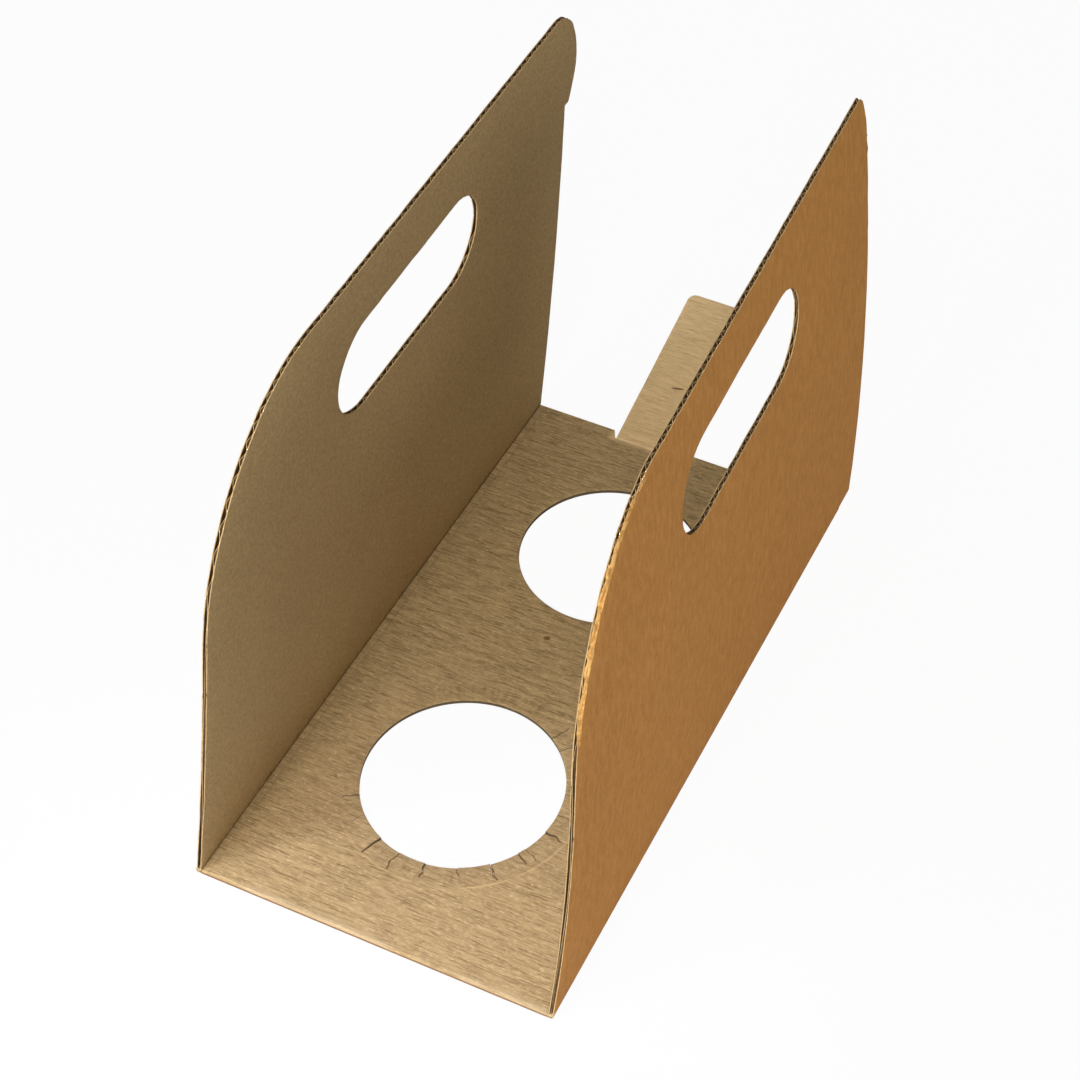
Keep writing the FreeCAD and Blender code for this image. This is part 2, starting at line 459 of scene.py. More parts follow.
def worn(side, along, up):
    """Share of crushing on the right wall's front shoulder, from 0 to 1."""
    if side == LEFT or along > WORN_END:
        return 0.0
    rise = max(0.0, 1 - abs(up - WORN_MIDDLE) / WORN_REACH)
    ragged = 0.72 + 0.5 * wobble(along, up, 260, 3.1)
    return min(1.0, 2.2 * rise) * max(0.0, ragged)


def rolled(side, along, up, gap):
    """Share by which a worn edge is rolled over, at a distance from the cut."""
    return worn(side, along, up) * max(0.0, 1 - gap / (1.8 * MM)) ** 2


def squeeze(side, along, up, gap):
    """How far the two outer papers are pressed towards each other near a cut edge."""
    rough = 0.75 + 0.9 * wobble(along, up, 170, 7.7 + side)
    return board().edge_crush * max(0.1, rough) * math.exp(-gap / (1.0 * MM))


def wall_papers(side, gap_at):
    """Outer and inner paper of a wall."""
    b = board()
    columns = wall_columns(side)
    low_rows = [0, .04, .1, .2, .3, .4, .5, .6, .7, .78, .85, .9, .94, .965, .982, .993, 1]
    high_rows = [0, .02, .06, .14, .28, .5, .72, .86, .94, .98, 1]

    def frayed(along, up, depth, gap, seed):
        fray = 0.14 * MM * wobble(along, up, 900, seed) * math.exp(-gap / (0.5 * MM))
        return Vector((wall_x(side, along + fray, up, depth), along + fray, up + fray))

    def outer(along, up):
        gap = gap_at(along, up)
        depth = squeeze(side, along, up, gap) + 0.75 * MM * rolled(side, along, up, gap)
        return frayed(along, up, depth, gap, 1.3)

    def inner(along, up):
        gap = gap_at(along, up)
        depth = b.thickness - squeeze(side, along + 0.05, up, gap)
        return frayed(along, up, depth, gap, 5.3)

    whole = bmesh.new()
    for place, facing, slot in ((outer, side, OUTSIDE), (inner, -side, INSIDE)):
        sheets = [slotted_grid(columns, low_rows, high_rows, place)]
        if side == LEFT:
            sheets.append(ear_sheet(place))
        for sheet in sheets:
            add_paper(whole, sheet, b.liner, Vector((facing, 0, 0)), (slot, CORE, CUT))
    return whole


def ear_sheet(place):
    """Strip of paper between the plain rear edge and the ear's own edge."""
    outside = ear_outside()
    steps = 5
    bm, places = grid(steps + 1, len(outside))
    for vert, (column, row) in zip(bm.verts, places):
        rear = outside[row]
        inner = flat(rear_line(LEFT, rear.y), rear.y)
        point = inner.lerp(rear, column / steps)
        vert.co = place(point.x, point.y)
    bmesh.ops.remove_doubles(bm, verts=bm.verts, dist=WELD)
    bmesh.ops.dissolve_degenerate(bm, edges=bm.edges, dist=WELD / 2)
    return bm


def upper_edge(side):
    """Height of a wall's outline at each place along it, for numpy.interp."""
    line = [flat(front_end(), 0)] + wall_rim(side)
    if side == RIGHT:
        line.append(flat(rear_end(side), 0))
    else:
        start = ear_corner()[0]
        line = [point for point in line if point.x < start.x - 0.1 * MM] + ear_top()
    return [point.x for point in line], [point.y for point in line]


def flute_columns(side):
    """Columns of the wavy paper, which all stand upright, in runs without a break."""
    s = sizes()
    places, heights = upper_edge(side)
    step = board().flute_pitch / 10
    slot_start, slot_end = slot_ends(side)
    foot_up = board().thickness
    plain_end = rear_line(LEFT, EAR_FOOT)
    belly = ear_corner()[2].x
    runs = {"wall": [], "toe": [], "ear": []}
    front, rear = front_end() + 0.5 * MM, rear_end(side) - 0.4 * MM
    for i in range(int((rear - front) / step) + 1):
        along = front + i * step
        ragged = 0.35 * MM + 0.25 * MM * wobble(along, side, 700, 2.2)
        top = float(numpy.interp(along, places, heights)) - ragged
        if side == RIGHT or along < plain_end - step:
            if top > foot_up + MM:
                reach = slot_reach(side, along) if slot_start < along < slot_end else 0.0
                reach = reach + ragged if reach else 0.0
                middle = s.slot_middle if reach else top * s.slot_middle / s.wall_height
                runs["wall"].append([flat(along, up) for up in
                                     (foot_up, middle - reach, middle + reach, top)])
        else:
            plain = (rear_end() - along) / s.left_rear_taper * s.wall_height - ragged
            if plain > foot_up + MM:
                runs["toe"].append([flat(along, up) for up in
                                    (foot_up, plain * 0.6, plain * 0.6, plain)])
            low = float(numpy.interp(along, [plain_end + EAR_STEP, belly],
                                     [EAR_FOOT, EAR_FOOT + EAR_RISE])) + 0.3 * MM
            if top > low + MM and along < belly - 0.3 * MM:
                runs["ear"].append([flat(along, low + (top - low) * share)
                                    for share in (0, 0.6, 0.6, 1)])
    return [run for run in runs.values() if len(run) > 2]


def wall_core(side, gap_at):
    """Wavy paper of a wall."""
    b = board()
    middle = b.thickness / 2
    swing = middle - b.liner - b.medium / 2

    def wave(along, up):
        gap = gap_at(along, up)
        roll = rolled(side, along, up, gap)
        phase = 2 * math.pi * (along - front_end()) / b.flute_pitch
        bent = 0.35 * wobble(along, up, 60, 9.4)
        reach = swing - squeeze(side, along, up, gap) - 0.3 * MM * roll
        depth = middle + 0.35 * MM * roll + reach * math.cos(phase + bent)
        return Vector((wall_x(side, along, up, depth), along, up))

    whole = bmesh.new()
    low_rows = [0, .15, .3, .45, .6, .75, .88, .95, .98, 1]
    high_rows = [0, .03, .1, .3, .6, .88, .96, 1]
    for columns in flute_columns(side):
        sheet = slotted_grid(columns, low_rows, high_rows, wave)
        add_paper(whole, sheet, b.medium, Vector((side, 0, 0)), (CORE, CORE, CUT))
    return whole


def torn_strip():
    """Scuffed, peeled edge of the outer paper on the right wall's front shoulder."""
    path = finely([point for point in wall_rim(RIGHT) if point.x < WORN_END], 0.9 * MM)
    width = 1.25 * MM
    rows = 5
    bm, places = grid(len(path), rows)
    for vert, (column, row) in zip(bm.verts, places):
        point = path[column]
        before, after = path[max(0, column - 1)], path[min(len(path) - 1, column + 1)]
        along_edge = (after - before).normalized()
        inward = flat(along_edge.y, -along_edge.x)
        wear = worn(RIGHT, point.x, point.y)
        share = row / (rows - 1)
        ragged = 0.5 + 0.8 * wobble(point.x, point.y, 420, 4.4 + row * 0.3)
        spot = point + inward * (width * (share - 0.25) * (0.5 + ragged))
        lift = width * wear * (1 - share) * (0.6 + 0.7 * ragged)
        depth = lift - 0.12 * MM * math.sin(math.pi * share) + 0.02 * MM
        vert.co = Vector((wall_x(RIGHT, spot.x, spot.y, depth), spot.x, spot.y))
    bare = [face for face in bm.faces
            if all(worn(RIGHT, vert.co.y, vert.co.z) < 0.25 for vert in face.verts)]
    bmesh.ops.delete(bm, geom=bare, context="FACES")
    for faces in thicken(bm, 0.16 * MM, Vector((RIGHT, -1, 0))):
        paint(faces, TORN)
    return bm


# Base

# Each slit's angle in degrees, and its length and its gape in millimetres
SLITS = (
    (2, 6.0, 0.12), (19, 5.5, 0.12), (35, 6.4, 0.12), (47, 4.0, 0.12), (57, 6.4, 0.14),
    (215, 5.5, 0.10), (229, 4.4, 0.12), (247.5, 7.7, 0.26), (261.5, 7.3, 0.26),
    (277.5, 5.5, 0.24), (295, 3.2, 0.2), (312.7, 6.8, 0.26), (328.8, 5.2, 0.22),
    (333.5, 6.0, 0.16), (349, 6.4, 0.24),
)

# Downward slope of each petal, from the one before the first slit to the one after the last.
# A cup has pressed the front ones most.
PETAL_SLOPES = (0.06, 0.06, 0.04, 0.06, 0.04, 0.02, 0.07, 0.04, 0.12, 0.08, 0.13, 0.09, 0.14,
                0.10, 0.13, 0.07)

# Distances from a hole's edge to the rings of points round it, in millimetres
RINGS = (0, .25, .7, 1.5, 2.4, 3.2, 4.0, 4.5, 5.2, 5.5, 6.0, 6.4, 6.8, 7.3, 7.7, 8.2, 9.2, 11,
         13.5)

TONGUE_CUT = 0.5 * MM       # width of the cut on either side of the tongue's root
LIP_ROUND = 0.85 * MM       # rounding of the base's front edge
FOLD_ROUND = 1.3 * MM       # rounding outside the folds below the walls


def petal_slope(angle):
    return PETAL_SLOPES[sum(1 for slit in SLITS if angle > slit[0])]


def bearing(centre, x, y):
    """Angle in degrees, from 0 to 360, at which a point lies from a centre."""
    return math.degrees(math.atan2(y - centre.y, x - centre.x)) % 360


def heading(angle):
    return Vector((math.cos(math.radians(angle)), math.sin(math.radians(angle))))


def slit_sides(slits, radius):
    """Angles of the two sides of each slit, and of the bands beside them, which are painted dark as
    shade in the slits.

    Both lead from an angle to the angle and the length of its slit.
    """
    sides, beside = {}, {}
    for angle, reach, gape in slits:
        spread = math.degrees(gape * 0.5 * MM / radius)
        for turn in (-spread, spread):
            sides[angle + turn] = (angle, reach * MM)
            beside[angle + 2 * turn] = (angle, reach * MM)
    return sides, beside


def patch_rim(centre, direction, low_y, high_y, notch):
    """Where a ray from a hole's centre leaves its patch of the base."""
    half = sizes().width / 2
    limits = []
    if abs(direction.x) > 1e-9:
        limits.append(((half if direction.x > 0 else -half) - centre.x) / direction.x)
    if abs(direction.y) > 1e-9:
        limits.append(((high_y if direction.y > 0 else low_y) - centre.y) / direction.y)
    if notch and direction.y > 0:
        left, right, fold_y = notch
        cut = (fold_y - centre.y) / direction.y
        if left < centre.x + direction.x * cut < right:
            limits.append(cut)
    return centre + direction * min(limits)


def base_patch(hole_y, hole_size, low_y, high_y, slits=(), notch=None):
    """Patch of the base round one cup hole, from the hole out to the base's edges.

    notch is the left side, the right side and the fold of a part that is left out at the rear.
    """
    s = sizes()
    b = board()
    centre = Vector((s.hole_offset, hole_y))
    half = s.width / 2
    radius = hole_size / 2
    sides, beside = slit_sides(slits, radius)
    special = [bearing(centre, x, y) for x in (-half, half) for y in (low_y, high_y)]
    special += list(sides) + list(beside)
    for x in notch[:2] if notch else ():
        special += [bearing(centre, x, notch[2]) + turn for turn in (-0.12, 0.12)]
    plain = [a for a in (i * 2.5 for i in range(144)) if all(abs(a - b) > 0.9 for b in special)]
    angles = sorted(plain + special)
    radii = [radius + step * MM for step in RINGS]
    outer = [0.3, 0.62, 1.0]

    def turned(angle, r):
        """Angle of a point, drawn in to the slit it belongs to and crooked with it."""
        if angle not in sides and angle not in beside:
            return angle
        middle, reach = sides.get(angle) or beside[angle]
        share = (r - radius) / reach
        if share >= 1.05:
            return angle
        crooked = 1.8 * wobble(middle, share * 1.4, 1.7, 6.0) * min(1.0, share * 1.5)
        if angle in beside:
            return angle + crooked
        return middle + (angle - middle) * (1 - share if share < 0.999 else 0) + crooked

    bm, places = grid(len(angles) + 1, len(radii) + len(outer))
    open_faces, slit_shade_faces = [], []
    for face in bm.faces:
        columns = sorted({places[vert.index][0] for vert in face.verts})
        rows = {places[vert.index][1] for vert in face.verts}
        first, second = angles[columns[0]], angles[columns[-1] % len(angles)]
        slit = sides.get(first) or sides.get(second)
        if not slit or max(rows) >= len(radii):
            continue
        if radii[min(rows)] >= radius + slit[1] - 0.01 * MM:
            continue
        if sides.get(first) == sides.get(second):
            open_faces.append(face)
        elif slit in (beside.get(first), beside.get(second)):
            slit_shade_faces.append(face)
    for vert, (column, row) in zip(bm.verts, places):
        angle = angles[column % len(angles)]
        drop = 0.0
        if row < len(radii):
            r = radii[row]
            spot = centre + heading(turned(angle, r)) * r
            if slits and r < s.petal_ring:
                drop = petal_slope(angle) * (s.petal_ring - r)
            drop += 0.22 * MM * math.exp(-(r - radius) / (0.5 * MM))
        else:
            direction = heading(angle)
            rim = patch_rim(centre, direction, low_y, high_y, notch)
            spot = (centre + direction * radii[-1]).lerp(rim, outer[row - len(radii)])
        vert.co = Vector((spot.x, spot.y, b.thickness - drop))
    bmesh.ops.delete(bm, geom=open_faces, context="FACES_ONLY")
    bmesh.ops.remove_doubles(bm, verts=bm.verts, dist=0.01 * MM)
    bm.normal_update()
    if sum(face.normal.z for face in bm.faces) < 0:
        bmesh.ops.reverse_faces(bm, faces=bm.faces[:])
    top = bm.faces[:]
    lower = bmesh.ops.extrude_face_region(bm, geom=top, use_keep_orig=True)["geom"]
    bottom = [item for item in lower if isinstance(item, bmesh.types.BMFace)]
    for vert in {vert for face in bottom for vert in face.verts}:
        gap = (Vector((vert.co.x, vert.co.y)) - centre).length - radius
        vert.co.z = 0.15 * MM * math.exp(-gap / (0.4 * MM))
    flats = set(top) | set(bottom)
    paint(top, INSIDE)
    # Painted shade: the bands beside the slits take the dark tint of the wavy paper, as dark lines
    # in the slits.
    paint(slit_shade_faces, CORE)
    paint(bottom, OUTSIDE)
    paint([face for face in bm.faces if face not in flats], CUT)
    bmesh.ops.recalc_face_normals(bm, faces=bm.faces[:])
    return bm


def soften(bm, edges, offset, segments):
    """Round some edges and give the new faces."""
    made = bmesh.ops.bevel(bm, geom=edges, offset=offset, offset_type="OFFSET",
                           segments=segments, profile=0.5, affect="EDGES", clamp_overlap=True,
                           material=-1)
    return made["faces"]


def base_board():
    s = sizes()
    near = 0.02 * MM
    half = s.width / 2
    rear_hole_y = front_hole_y() + s.hole_spacing
    join = (front_hole_y() + rear_hole_y) / 2
    notch = (-s.tongue_left - TONGUE_CUT, -s.tongue_left + s.tongue_width + TONGUE_CUT,
             tongue_fold())
    whole = bmesh.new()
    front_patch = base_patch(front_hole_y(), s.front_hole, front_end(), join, slits=SLITS)
    lip = [edge for edge in front_patch.edges
           if all(vert.co.y < front_end() + near and vert.co.z > board().thickness - near
                  for vert in edge.verts)]
    paint(soften(front_patch, lip, LIP_ROUND, 4), INSIDE)
    gather(whole, front_patch)
    base_rear = rear_end() - s.rear_recess
    gather(whole, base_patch(rear_hole_y, s.rear_hole, join, base_rear, notch=notch))
    under = [edge for edge in whole.edges
             if all(abs(abs(vert.co.x) - half) < near and vert.co.z < 0.3 * MM
                    for vert in edge.verts)]
    paint(soften(whole, under, FOLD_ROUND, 5), OUTSIDE)
    paint([face for face in whole.faces
           if abs(abs(face.calc_center_median().x) - half) < 0.05 * MM], OUTSIDE)
    return whole


# Tongue

TONGUE_CORNER = 3 * MM


def tongue_half(along):
    """Half the tongue's width at a place along it, less at its round corners."""
    s = sizes()
    over = along - (s.tongue_length - TONGUE_CORNER)
    if over <= 0:
        return s.tongue_width / 2
    round_off = math.sqrt(max(0.0, TONGUE_CORNER ** 2 - over ** 2))
    return s.tongue_width / 2 - TONGUE_CORNER + round_off


def across_tongue(along, inset=0.0):
    """Column of points from one side of the tongue to the other."""
    half = tongue_half(along) - inset
    return [flat(along, across) for across in (-half, 0, 0, half)]


def tongue_board():
    """Narrow tongue that rises from its fold, in three papers."""
    s = sizes()
    b = board()
    tilt = Matrix.Rotation(s.tongue_tilt, 3, "X")
    pivot = Vector((0, tongue_fold(), b.thickness))

    def sunk(depth_at):
        """Vertex maker of a sheet, whose depth follows from the place along and the crush."""
        def place(along, across):
            side_gap = tongue_half(min(along, s.tongue_length)) - abs(across)
            gap = max(0.0, min(side_gap, s.tongue_length - along))
            rough = 0.8 + 0.8 * wobble(along, across, 200, 8.8)
            crush = 0.13 * MM * rough * math.exp(-gap / (0.9 * MM))
            spot = Vector((tongue_middle() + across, along, -depth_at(along, crush)))
            return tilt @ spot + pivot
        return place

    swing = b.thickness / 2 - b.liner - b.medium / 2
    upper = sunk(lambda along, crush: crush)
    lower = sunk(lambda along, crush: b.thickness - crush)
    wave = sunk(lambda along, crush: b.thickness / 2 + (swing - crush)
                * math.cos(2 * math.pi * along / b.flute_pitch))

    places = [s.tongue_length * share for share in shares(48)]
    places += [s.tongue_length - TONGUE_CORNER * (1 - math.sin(turn * math.pi / 20))
               for turn in range(10)]
    columns = [across_tongue(along) for along in sorted(set(places))]
    rows = [0, .03, .1, .3, .7, 1]
    back_rows = [1 - row for row in reversed(rows)]
    whole = bmesh.new()
    for place, facing, slot in ((upper, 1, INSIDE), (lower, -1, OUTSIDE)):
        sheet = slotted_grid(columns, rows, back_rows, place)
        add_paper(whole, sheet, b.liner, Vector((0, 0, facing)), (slot, CORE, CUT))
    step = b.flute_pitch / 10
    columns = [across_tongue(i * step, 0.5 * MM)
               for i in range(int((s.tongue_length - 1.0 * MM) / step))]
    sheet = slotted_grid(columns, [0, .1, 1], [0, .9, 1], wave)
    add_paper(whole, sheet, b.medium, Vector((0, 0, 1)), (CORE, CORE, CUT))
    gather(whole, tongue_knuckle())
    return whole


def tongue_knuckle():
    """Half-round underside of the tongue's fold."""
    s = sizes()
    b = board()
    bm = bmesh.new()
    ends = bmesh.ops.create_circle(bm, cap_ends=True, segments=40,
                                   radius=b.thickness - 0.03 * MM)["verts"]
    upright = Matrix.Rotation(math.pi / 2, 3, "Y")
    bmesh.ops.rotate(bm, verts=ends, cent=Vector(), matrix=upright)
    bmesh.ops.translate(bm, verts=ends, vec=(-s.tongue_left, tongue_fold(), b.thickness))
    stretched = bmesh.ops.extrude_face_region(bm, geom=bm.faces[:], use_keep_orig=True)["geom"]
    moved = [item for item in stretched if isinstance(item, bmesh.types.BMVert)]
    bmesh.ops.translate(bm, verts=moved, vec=(s.tongue_width, 0, 0))
    cut = bmesh.ops.bisect_plane(bm, geom=bm.verts[:] + bm.edges[:] + bm.faces[:],
                                 plane_co=(0, 0, b.thickness - 0.01 * MM), plane_no=(0, 0, 1),
                                 clear_outer=True)
    rim = [item for item in cut["geom_cut"] if isinstance(item, bmesh.types.BMEdge)]
    bmesh.ops.holes_fill(bm, edges=rim, sides=0)
    bmesh.ops.recalc_face_normals(bm, faces=bm.faces[:])
    paint(bm.faces, OUTSIDE)
    paint([face for face in bm.faces if face.normal.z > 0.5], INSIDE)
    return bm


# Finishes

def bare_tree(owner):
    """Emptied node tree of a material or a world."""
    owner.use_nodes = True
    owner.node_tree.nodes.clear()
    return owner.node_tree


class Value:
    """A number that changes over a surface, on a node's socket, written as plain maths."""

    def __init__(self, tree, socket):
        self.tree = tree
        self.socket = socket

    def maths(self, operation, *operands):
        node = self.tree.nodes.new("ShaderNodeMath")
        node.operation = operation
        for place, operand in enumerate(operands):
            if isinstance(operand, Value):
                self.tree.links.new(operand.socket, node.inputs[place])
            else:
                node.inputs[place].default_value = operand
        return Value(self.tree, node.outputs[0])

    def __add__(self, other):
        return self.maths("ADD", self, other)

    def __sub__(self, other):
        return self.maths("SUBTRACT", self, other)

    def __rsub__(self, other):
        return self.maths("SUBTRACT", other, self)

    def __mul__(self, other):
        return self.maths("MULTIPLY", self, other)

    def __truediv__(self, other):
        return self.maths("DIVIDE", self, other)

    __radd__ = __add__
    __rmul__ = __mul__

    def __pow__(self, other):
        return self.maths("POWER", self, other)

    def size(self):
        return self.maths("ABSOLUTE", self)

    def sine(self):
        return self.maths("SINE", self)

    def root(self):
        return self.maths("SQRT", self)

    def least(self, other):
        return self.maths("MINIMUM", self, other)

    def most(self, other):
        return self.maths("MAXIMUM", self, other)

    def clipped(self):
        return self.least(1.0).most(0.0)

    def within(self, width):
        """1 where the number is near 0, falling to 0 at a width."""
        return (1.0 - self.size() / width).clipped()

    def between(self, low, high):
        """0 below low, 1 above high."""
        return ((self - low) / (high - low)).clipped()


class Finish:
    """One material and the nodes that make it."""

    def __init__(self, name):
        self.material = bpy.data.materials.new(name)
        self.tree = bare_tree(self.material)
        self.spot = self.node("ShaderNodeTexCoord").outputs["Object"]
        apart = self.node("ShaderNodeSeparateXYZ", Vector=self.spot)
        self.x, self.y, self.z = (Value(self.tree, apart.outputs[i]) for i in range(3))

    def node(self, kind, settings=None, **sockets):
        """A node with its settings set first, then the values or links of its sockets."""
        node = self.tree.nodes.new(kind)
        for key, setting in (settings or {}).items():
            setattr(node, key, setting)
        for key, given in sockets.items():
            self.feed(node.inputs[key.replace("_", " ")], given)
        return node

    def feed(self, socket, given):
        """Link a value or a socket, or else set a number or a colour."""
        if isinstance(given, Value):
            given = given.socket
        if isinstance(given, bpy.types.NodeSocket):
            self.tree.links.new(given, socket)
        else:
            socket.default_value = given

    def stretched(self, across, along, up):
        """Object coordinates, stretched, in features per metre."""
        node = self.node("ShaderNodeVectorMath", {"operation": "MULTIPLY"})
        self.feed(node.inputs[0], self.spot)
        self.feed(node.inputs[1], (across, along, up))
        return node.outputs[0]

    def grain(self, vector, detail=2.0, rough=0.5, twist=0.0):
        node = self.node("ShaderNodeTexNoise", {"noise_dimensions": "3D"}, Vector=vector,
                         Scale=1.0, Detail=detail, Roughness=rough, Distortion=twist)
        return Value(self.tree, node.outputs["Fac"])

    def speckle(self):
        """Fine paper fibres, the same on every side."""
        return self.grain(self.stretched(1050, 1050, 1050), 2.0, 0.65)

    def blend(self, share, first, second):
        """First colour, with a share of the second over it."""
        node = self.node("ShaderNodeMix", {"data_type": "RGBA", "blend_type": "MIX"})
        self.feed(node.inputs[0], share)
        for place, colour in ((6, first), (7, second)):
            solid = isinstance(colour, tuple)
            self.feed(node.inputs[place], (*colour, 1.0) if solid else colour)
        return node.outputs[2]

    def layered(self, base, colour, coats):
        """Colour under coats, each a share and three factors for the paper's own colour."""
        for share, *factors in coats:
            colour = self.blend(share, colour, warm(base, *factors))
        return colour

    def clouded(self, base, low, high):
        """The paper's own colour, in clouds between two strengths."""
        cloud = self.grain(self.stretched(22, 34, 22), 3.0, 0.55)
        return self.blend((cloud - 0.35).clipped() * 0.9, warm(base, low, low, low),
                          warm(base, high, high, high))

    def done(self, colour, roughness, relief, distance):
        bump = self.node("ShaderNodeBump", Height=relief, Distance=distance, Strength=1.0)
        skin = self.node("ShaderNodeBsdfPrincipled", Base_Color=colour, Roughness=roughness,
                         Specular_IOR_Level=0.06, Normal=bump.outputs[0])
        self.node("ShaderNodeOutputMaterial", Surface=skin.outputs[0])
        return self.material


def warm(colour, red, green, blue):
    """A colour with each of its channels multiplied."""
    return (colour[0] * red, colour[1] * green, colour[2] * blue)


def washboard(f, strength):
    """Low ridges over the flutes, uneven along their length."""
    drift = f.grain(f.stretched(30, 30, 30), 1.0)
    wave = ((f.y / board().flute_pitch * 2 * math.pi) + drift * 2.2).sine() * 0.5 + 0.5
    return wave * strength * (0.4 + 0.9 * f.grain(f.stretched(40, 60, 40), 1.0))


def spot_on(f, x, y, reach, width, slope):
    """Mask of a short slanting mark on the base or tongue."""
    turned_x = (f.x - x) + (f.y - y) * slope
    turned_y = (f.y - y) - (f.x - x) * slope
    return (((turned_x / reach) ** 2.0) + ((turned_y / width) ** 2.0)).root().between(1.15, 0.75)


def fibre_marks(f, lying):
    """Coats and relief of the inside's streaks and speckle. The base shows most streaks."""
    speckle = f.speckle()
    streak = f.grain(f.stretched(170, 2300, 170), 3.0, 0.65, 0.1)
    broad = f.grain(f.stretched(50, 760, 50), 2.0, 0.5, 0.1)
    fleck = f.grain(f.stretched(520, 1700, 520), 2.0, 0.6)
    strength = 0.05 + 0.95 * lying
    upright = 1.0 - lying * 0.6
    dark = streak.between(0.49, 0.34) * strength
    coats = [
        (broad.between(0.48, 0.33) * 0.35 * strength, 0.72, 0.68, 0.62),
        (dark * 0.72, 0.45, 0.40, 0.31),
        (streak.between(0.54, 0.68) * strength * 0.50, 1.30, 1.33, 1.38),
        (fleck.between(0.54, 0.68) * 0.70 * lying, 1.40, 1.45, 1.60),
        (speckle.between(0.52, 0.32) * 0.50 * upright, 0.62, 0.57, 0.48),
        (speckle.between(0.52, 0.70) * 0.45 * upright, 1.26, 1.27, 1.30),
    ]
    return coats, washboard(f, 0.35) * strength + dark * -0.5 + speckle * 0.15


def hole_marks(f, patchy, lying):
    """Coats and relief round the front hole: the crease with a painted highlight, a line of painted
    shade just inside it, and the strained collar.
    """
    s = sizes()
    off_x, off_y = f.x - s.hole_offset, f.y - front_hole_y()
    away = (off_x * off_x + off_y * off_y).root()
    from_ring = away - s.petal_ring
    pressed_most = heading(318)
    facing = (off_x * pressed_most.x + off_y * pressed_most.y) / away
    forward = facing.between(-0.2, 0.85) * lying
    crease = from_ring.within(0.6 * MM) * patchy.between(0.40, 0.52) * forward
    inner = (from_ring + 1.0 * MM).within(0.7 * MM) * patchy.between(0.42, 0.55) * forward
    turn = off_y.maths("ARCTAN2", off_y, off_x)
    rays = f.node("ShaderNodeCombineXYZ", X=turn * 26.0, Y=away * 90.0, Z=0.0)
    radial = f.grain(rays.outputs[0], 3.0, 0.6)
    collar = (from_ring + 3.6 * MM).within(4.6 * MM) * lying
    # The crease's pale line is a painted highlight and the dark line inside it is painted shade;
    # both fade away from the front right, where the petals are pressed most.
    coats = [
        (crease * 0.8, 1.40, 1.38, 1.42),
        (inner * 0.3, 0.6, 0.56, 0.5),
        (radial.between(0.5, 0.36) * collar * 0.5, 0.62, 0.58, 0.52),
        (radial.between(0.54, 0.68) * collar * 0.4, 1.2, 1.2, 1.24),
    ]
    return coats, crease * 0.6


def fold_marks(f, lying):
    """Coats and relief of each fold's line of painted shade and of the score beside it, which is
    darkened as painted shade in its groove.
    """
    off_wall = f.x.size() - (sizes().width / 2 - board().thickness)
    fold = (off_wall + 0.1 * MM).within(0.4 * MM) * f.z.between(4 * MM, 2 * MM)
    score = (off_wall + 2.6 * MM).within(0.6 * MM) * lying
    # Painted shade: a dark line in each fold, and a lighter darkening along the score's groove.
    coats = [(fold * 0.9, 0.30, 0.26, 0.20), (score * 0.35, 0.66, 0.62, 0.55)]
    return coats, fold * -0.8 + score * -0.5


def inside_kraft(f):
    base = tuple(paper().inside)
    off_tongue = (f.x - tongue_middle()).size()
    on_tongue = f.y.between(105 * MM, 107 * MM) * off_tongue.between(16 * MM, 14 * MM)
    on_base = f.z.between(6 * MM, 3 * MM)
    lying = on_base.most(on_tongue)
    patchy = f.grain(f.stretched(60, 60, 60), 1.0)
    fibres, fibre_relief = fibre_marks(f, lying)
    ring, ring_relief = hole_marks(f, patchy, on_base)
    folds, fold_relief = fold_marks(f, on_base)
    # Painted highlight: a pale, patchy band just behind the base's front edge.
    lip = f.y.between(front_end() + 2.6 * MM, front_end() + 0.9 * MM)
    # Painted highlight: a pale line on the crest of the tongue's fold.
    root = (f.y - tongue_fold() - 0.2 * MM).within(0.5 * MM)
    ends = [
        (lip * patchy.between(0.36, 0.56) * on_base * 0.5, 1.25, 1.32, 1.6),
        (root * off_tongue.between(12.6 * MM, 12.3 * MM) * 0.9, 1.8, 1.85, 2.2),
    ]
    # Painted light: the tongue is made paler, as it lies lit beyond the walls.
    painted_tongue_light = [(on_tongue * 0.6, 1.85, 1.85, 2.0)]
    colour = f.layered(base, f.clouded(base, 0.94, 1.08), fibres + painted_tongue_light + ring + folds + ends)
    tear = spot_on(f, -12.9 * MM, 132.6 * MM, 2.4 * MM, 0.4 * MM, 0.2)
    speck = spot_on(f, -5.4 * MM, 13.4 * MM, 1.2 * MM, 0.9 * MM, 0.3)
    tear = tear.most(speck) * lying
    colour = f.blend(tear * 0.8, colour, (0.16, 0.075, 0.025))
    relief = fibre_relief + ring_relief + fold_relief - tear * 0.8
    return f.done(colour, 0.86, relief, 0.22 * MM)


def outside_kraft(f):
    base = tuple(paper().outside)
    speckle = f.speckle()
    stroke = f.grain(f.stretched(420, 620, 190), 3.0, 0.6)
    colour = f.layered(base, f.clouded(base, 0.93, 1.08), [
        (stroke.between(0.52, 0.34) * 0.42, 0.70, 0.62, 0.50),
        (stroke.between(0.52, 0.7) * 0.36, 1.22, 1.28, 1.40),
        (speckle.between(0.5, 0.3) * 0.32, 0.72, 0.66, 0.55),
        (speckle.between(0.52, 0.7) * 0.22, 1.2, 1.24, 1.3),
    ])
    relief = washboard(f, 0.12) + stroke * 0.3 + speckle * 0.12
    return f.done(colour, 0.84, relief, 0.2 * MM)


